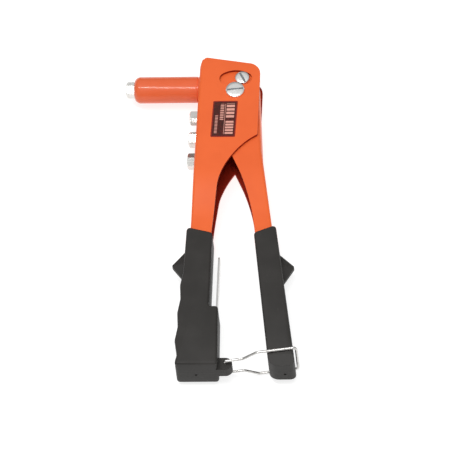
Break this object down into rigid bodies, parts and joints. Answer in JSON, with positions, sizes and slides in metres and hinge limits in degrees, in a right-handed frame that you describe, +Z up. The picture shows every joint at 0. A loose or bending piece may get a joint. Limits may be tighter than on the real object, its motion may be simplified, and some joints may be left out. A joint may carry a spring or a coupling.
{
  "type": "hand riveter",
  "caption": "Two-handled hand riveter for blind rivets, with a tubular nose, a wire latch round the grips and spare nosepieces on its frame.",
  "frame": {"origin": "middle of the tool's footprint as it lies on its back, on the surface it lies on", "axes": "+Z up, towards the labelled side; -X along the nose, towards the rivet; +Y from the grips towards the head"},
  "size_m": [0.1336, 0.2653, 0.0317],
  "materials": {
    "orange_paint": "smooth baked enamel",
    "zinc_plated_steel": "bright zinc plate",
    "nickel_plated_steel": "bright nickel plate",
    "machined_steel": "turned steel, oiled",
    "hardened_steel": "hardened and blackened",
    "spring_wire": "drawn steel wire",
    "black_plastic": "moulded, fine satin texture",
    "printed_label": "glossy printed film"
  },
  "bodies": {
    "frame_body": {"frame": "orange_paint", "nose_sleeve": "orange_paint", "sleeve_nut": "zinc_plated_steel", "rod_guide_bush": "machined_steel", "fitted_nosepiece": "nickel_plated_steel", "spare_nosepiece_small": "nickel_plated_steel", "spare_nosepiece_medium": "nickel_plated_steel", "spare_nosepiece_large": "nickel_plated_steel", "pivot_screw": "zinc_plated_steel", "pivot_bush": "machined_steel", "pivot_nut": "zinc_plated_steel", "fixed_grip": "black_plastic", "label_plate": "printed_label", "return_spring": "spring_wire"},
    "handle_body": {"moving_handle": "orange_paint", "moving_grip": "black_plastic", "pull_screw": "zinc_plated_steel", "pull_nut": "zinc_plated_steel", "pull_pin_collars": "machined_steel"},
    "draw_body": {"draw_rod": "machined_steel", "rod_lock_nut": "zinc_plated_steel", "jaw_housing": "machined_steel", "jaw_spring": "spring_wire"},
    "pusher_body": {"jaw_pusher": "machined_steel"},
    "jaw_upper_body": {"jaw_upper": "hardened_steel"},
    "jaw_lower_body": {"jaw_lower": "hardened_steel"},
    "latch_body": {"latch_wire": "spring_wire"},
    "spanner_body": {"spanner": "nickel_plated_steel"}
  },
  "joints": [
    {"name": "handle_pivot", "type": "hinge", "parent": "frame_body", "child": "handle_body", "pos_m": [0.0139, 0.1032, 0.016], "axis": [0, 0, 1], "range_deg": [-1.5, 38], "deforming": ["latch_wire"]},
    {"name": "draw_slide", "type": "slide", "parent": "frame_body", "child": "draw_body", "axis": [-1, 0, 0], "range_m": [-0.00033, 0.0081], "deforming": ["return_spring"]},
    {"name": "pusher_slide", "type": "slide", "parent": "draw_body", "child": "pusher_body", "axis": [1, 0, 0], "range_m": [0, 0.0014], "stiffness_N_per_m": 600, "springref_m": -0.004, "deforming": ["jaw_spring"]},
    {"name": "jaw_upper_slide", "type": "slide", "parent": "draw_body", "child": "jaw_upper_body", "axis": [0.9842, 0.1772, 0], "range_m": [0, 0.00144]},
    {"name": "jaw_lower_slide", "type": "slide", "parent": "draw_body", "child": "jaw_lower_body", "axis": [0.9842, -0.1772, 0], "range_m": [0, 0.00144]},
    {"name": "latch_swing", "type": "hinge", "parent": "frame_body", "child": "latch_body", "pos_m": [0.0147, -0.1276, 0.016], "axis": [0, 0, 1], "range_deg": [-115, 0]},
    {"name": "spanner_slide", "type": "slide", "parent": "frame_body", "child": "spanner_body", "axis": [0, 1, 0], "range_m": [0, 0.042]}
  ],
  "couplings": [
    {"joint": "draw_slide", "follows": "handle_pivot", "m_per_rad": 0.01217},
    {"joint": "jaw_upper_slide", "follows": "pusher_slide", "ratio": 1.016},
    {"joint": "jaw_lower_slide", "follows": "pusher_slide", "ratio": 1.016}
  ]
}
